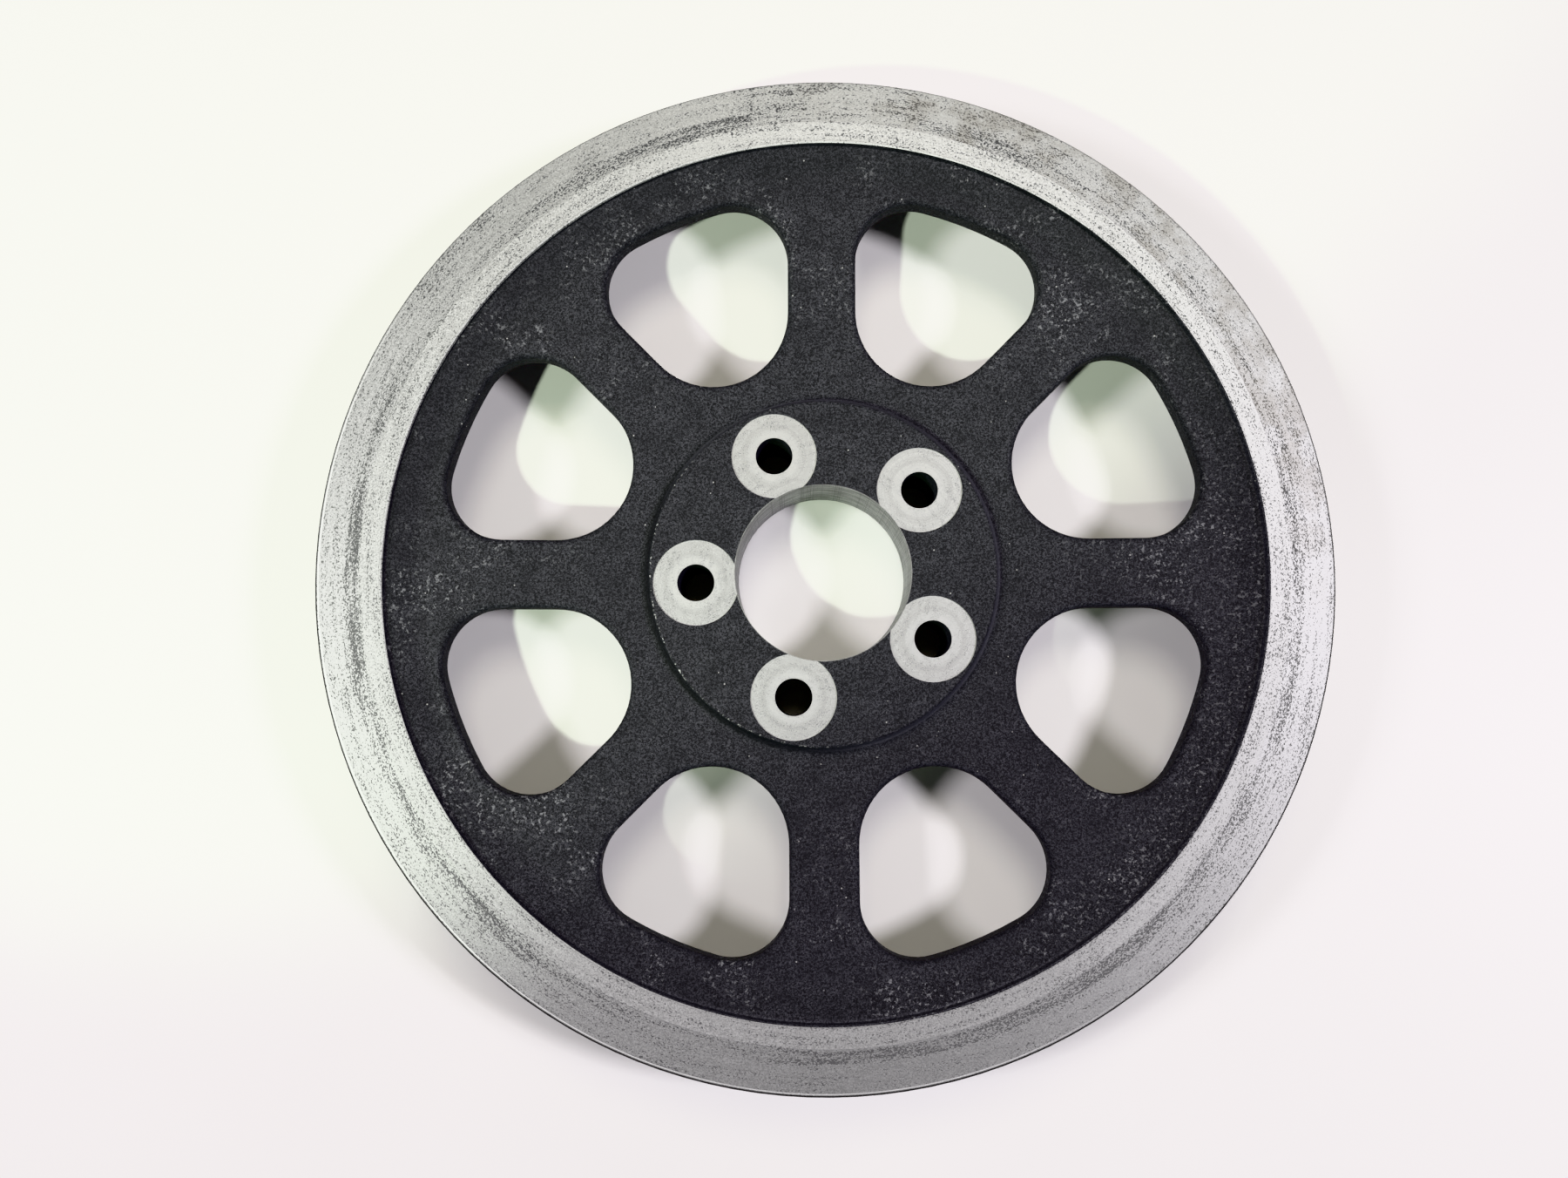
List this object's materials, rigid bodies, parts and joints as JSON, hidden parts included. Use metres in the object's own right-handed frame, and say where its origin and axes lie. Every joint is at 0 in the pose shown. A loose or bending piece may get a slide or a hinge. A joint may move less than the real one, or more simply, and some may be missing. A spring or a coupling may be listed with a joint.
{
  "type": "motorcycle drive belt pulley",
  "caption": "Spoked rear pulley for a toothed drive belt, with a bored and bolted hub disc, open windows and a bare turned guide flange.",
  "frame": {"origin": "on the pulley's axis, at the inboard face of the hub, which bears on the road wheel", "axes": "+Z along the axis, outboard, towards the bolt heads; +X along the centre line of a spoke"},
  "size_m": [0.325, 0.325, 0.039],
  "materials": {
    "coated_casting": "matt black textured powder coat on cast aluminium; bolt seats, bore, back face and outer land are machined bare",
    "rim_aluminium": "hard grey anodised teeth",
    "turned_flange": "bare turned aluminium, weathered and lightly pitted"
  },
  "bodies": {
    "root": {"wheel_casting": "coated_casting", "toothed_rim": "rim_aluminium", "guide_flange": "turned_flange"}
  },
  "joints": []
}
